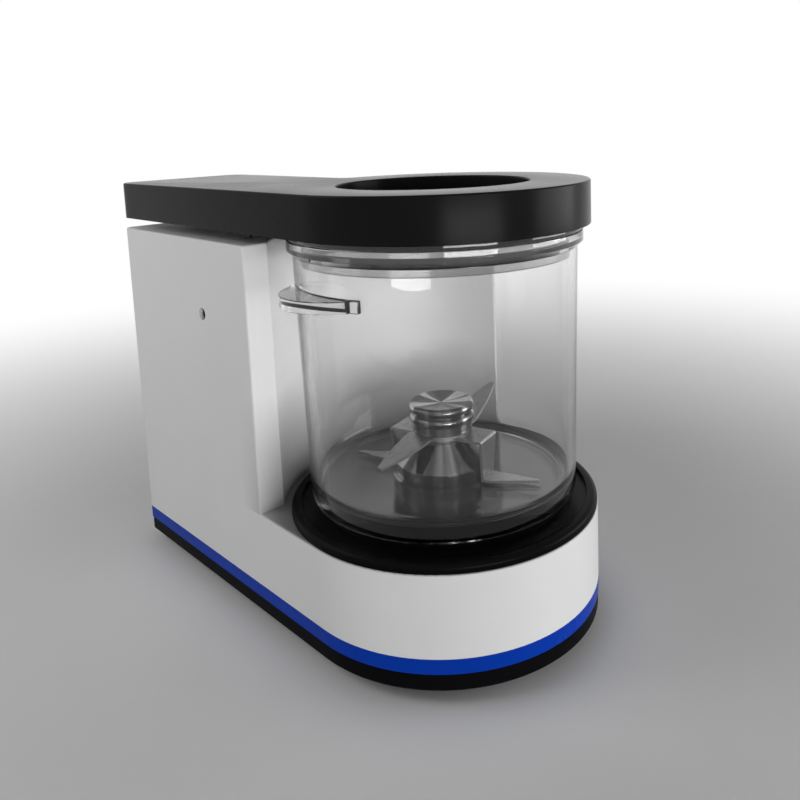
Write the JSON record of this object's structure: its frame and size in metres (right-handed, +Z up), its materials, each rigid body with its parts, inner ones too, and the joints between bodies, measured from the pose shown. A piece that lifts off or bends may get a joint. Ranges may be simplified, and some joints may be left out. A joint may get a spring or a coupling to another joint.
{
  "type": "tissue grinder",
  "caption": "Bench tissue grinder: round-fronted white base with a blue band, clear tapered bowl over a bladed steel cutter, and a black swing arm with a round feed hole above the bowl.",
  "frame": {"origin": "centre of the box round the object, on the table under the feet", "axes": "+Z up, -Y towards the front, where the bowl stands; +Y towards the tower's rear cover; the bowl's ear is on the -X side"},
  "size_m": [0.231, 0.3914, 0.3162],
  "materials": {
    "skirt": "satin black moulded tray",
    "rubber": "black rubber",
    "zinc": "zinc plated steel",
    "stripe": "deep blue gloss band",
    "white_paint": "satin white powder coat",
    "stainless": "turned stainless steel",
    "black_plastic": "matte black plastic",
    "seat": "satin black turned plastic",
    "casting": "plain cast and machined aluminium",
    "bearing_steel": "ground bearing steel",
    "motor_paint": "dark grey paint",
    "bronze": "sintered bronze",
    "board": "green circuit board with black parts",
    "clear_bowl": "clear acrylic, lightly scratched",
    "clear_lid": "clear acrylic plate",
    "blade_steel": "ground blade steel",
    "arm_coat": "satin black coat",
    "post_steel": "ground steel"
  },
  "bodies": {
    "housing": {"base_tray": "skirt", "rubber_feet": "rubber", "foot_screws": "zinc", "stripe_band": "stripe", "housing_shell": "white_paint", "rear_cover": "white_paint", "rear_cover_screws": "stainless", "power_inlet": "black_plastic", "switch_frame": "black_plastic", "bowl_seat": "seat", "spindle_housing": "casting", "flange_screws": "zinc", "upper_bearing": "bearing_steel", "lower_bearing": "bearing_steel", "shaft_seal": "rubber", "drive_belt": "rubber", "motor_bracket": "casting", "motor_leg_screws": "zinc", "motor_can": "motor_paint", "motor_cap": "black_plastic", "motor_bearings": "bronze", "motor_bolts": "zinc", "run_capacitor": "casting", "control_board": "board", "board_posts": "bronze", "post_guide": "casting", "guide_screws": "zinc", "post_bushes": "bronze", "lock_screw": "zinc", "interlock_switch": "black_plastic", "interlock_bracket": "post_steel"},
    "bowl_set": {"bowl": "clear_bowl", "bowl_bush": "stainless", "lid": "clear_lid", "lid_seal": "rubber"},
    "cutter": {"drive_spindle": "stainless", "driven_pulley": "casting", "pulley_nut": "zinc", "cutter_hub": "stainless", "floor_blades": "blade_steel", "cross_blades": "blade_steel", "knob_washer": "stainless"},
    "knob": {"cutter_knob": "stainless"},
    "rotor": {"motor_rotor": "bearing_steel", "motor_pulley": "casting"},
    "post": {"arm_post": "post_steel", "post_collar": "post_steel"},
    "arm": {"arm_shell": "arm_coat", "arm_underplate": "arm_coat", "arm_screws": "zinc", "arm_bush": "bronze"},
    "rocker": {"switch_rocker": "black_plastic"},
    "plunger": {"interlock_plunger": "black_plastic"}
  },
  "joints": [
    {"name": "arm_lift", "type": "slide", "parent": "housing", "child": "post", "axis": [0, 0, 1], "range_m": [0, 0.012]},
    {"name": "arm_swing", "type": "hinge", "parent": "post", "child": "arm", "pos_m": [-0.05287, 0.05309, 0.29], "axis": [0, 0, 1], "range_deg": [-90, 0]},
    {"name": "bowl_twist", "type": "hinge", "parent": "housing", "child": "bowl_set", "pos_m": [0.00413, -0.08425, 0.0955], "axis": [0, 0, 1], "range_deg": [0, 30]},
    {"name": "cutter_spin", "type": "hinge", "parent": "housing", "child": "cutter", "pos_m": [0.00413, -0.08425, 0.06], "axis": [0, 0, 1], "continuous": true},
    {"name": "motor_spin", "type": "hinge", "parent": "housing", "child": "rotor", "pos_m": [0.02413, 0.11375, 0.1], "axis": [0, 0, 1], "continuous": true},
    {"name": "knob_turn", "type": "hinge", "parent": "cutter", "child": "knob", "pos_m": [0.00413, -0.08425, 0.145], "axis": [0, 0, 1], "range_deg": [0, 360]},
    {"name": "switch_rock", "type": "hinge", "parent": "housing", "child": "rocker", "pos_m": [-0.05788, 0.18125, 0.1087], "axis": [1, 0, 0], "range_deg": [0, 24]},
    {"name": "interlock_press", "type": "slide", "parent": "housing", "child": "plunger", "axis": [0, 0, 1], "range_m": [-0.003, 0], "stiffness_N_per_m": 400, "springref_m": 0.002}
  ],
  "couplings": [
    {"joint": "cutter_spin", "follows": "motor_spin", "ratio": 0.625}
  ]
}
